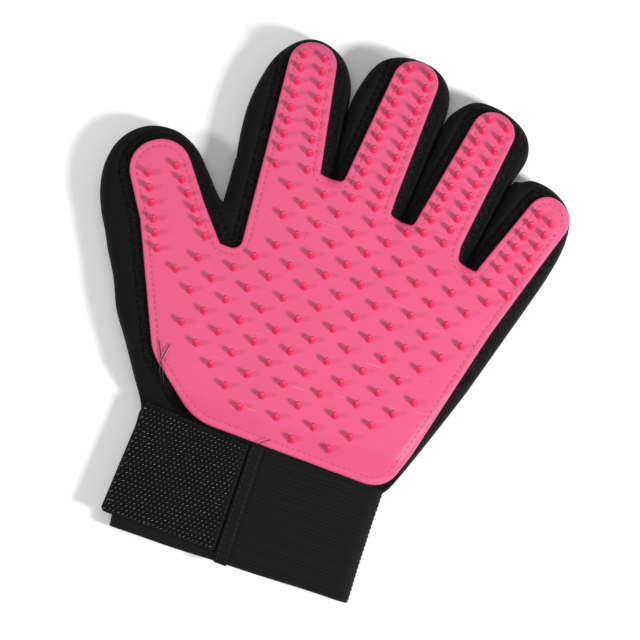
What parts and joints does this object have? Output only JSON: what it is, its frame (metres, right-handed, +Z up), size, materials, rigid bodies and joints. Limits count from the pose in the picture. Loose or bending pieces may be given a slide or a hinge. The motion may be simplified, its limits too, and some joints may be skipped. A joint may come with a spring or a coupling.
{
  "type": "grooming glove",
  "caption": "Left-hand pet grooming glove, palm up: black cloth glove with a soft rubber pad of moulded pins over palm and fingers, ribbed elastic cuff and a hook-tape closure tab.",
  "frame": {"origin": "on the resting plane, under the middle of the glove's length and width", "axes": "+Y from the wrist to the fingertips, +X towards the little finger, +Z up out of the padded palm"},
  "size_m": [0.2041, 0.2356, 0.0244],
  "materials": {
    "pink_rubber": "satin moulded rubber",
    "black_cloth": "smooth knitted neoprene-like cloth",
    "black_mesh": "textured mesh knit",
    "black_elastic": "ribbed woven elastic webbing",
    "hook_tape": "woven hook tape"
  },
  "bodies": {
    "hand": {"back_palm": "black_cloth", "mesh_palm": "black_mesh", "pad_palm": "pink_rubber", "cuff_elastic_band": "black_elastic", "cuff_strap_end": "black_cloth", "cuff_joining_strip": "black_cloth"},
    "thumb": {"back_thumb": "black_cloth", "mesh_thumb": "black_mesh", "pad_thumb": "pink_rubber"},
    "index": {"back_index": "black_cloth", "mesh_index": "black_mesh", "pad_index": "pink_rubber"},
    "middle": {"back_middle": "black_cloth", "mesh_middle": "black_mesh", "pad_middle": "pink_rubber"},
    "ring": {"back_ring": "black_cloth", "mesh_ring": "black_mesh", "pad_ring": "pink_rubber"},
    "little": {"back_little": "black_cloth", "mesh_little": "black_mesh", "pad_little": "pink_rubber"},
    "closure_tab": {"tab_backing": "black_cloth", "tab_hook_tape": "hook_tape"}
  },
  "joints": [
    {"name": "thumb_curl", "type": "hinge", "parent": "hand", "child": "thumb", "pos_m": [-0.0686, 0.0173, 0.0202], "axis": [0.848, 0.5299, 0], "range_deg": [0, 60]},
    {"name": "index_curl", "type": "hinge", "parent": "hand", "child": "index", "pos_m": [-0.0256, 0.0547, 0.0202], "axis": [0.9936, 0.1132, 0], "range_deg": [0, 60]},
    {"name": "middle_curl", "type": "hinge", "parent": "hand", "child": "middle", "pos_m": [0.0138, 0.0557, 0.0202], "axis": [0.9971, -0.0767, 0], "range_deg": [0, 60]},
    {"name": "ring_curl", "type": "hinge", "parent": "hand", "child": "ring", "pos_m": [0.0476, 0.0454, 0.0202], "axis": [0.986, -0.1668, 0], "range_deg": [0, 60]},
    {"name": "little_curl", "type": "hinge", "parent": "hand", "child": "little", "pos_m": [0.0785, 0.0332, 0.0202], "axis": [0.9426, -0.3338, 0], "range_deg": [0, 60]},
    {"name": "tab_peel", "type": "hinge", "parent": "hand", "child": "closure_tab", "pos_m": [-0.002, -0.0908, 0.0133], "axis": [0, 1, 0], "range_deg": [0, 150]}
  ]
}
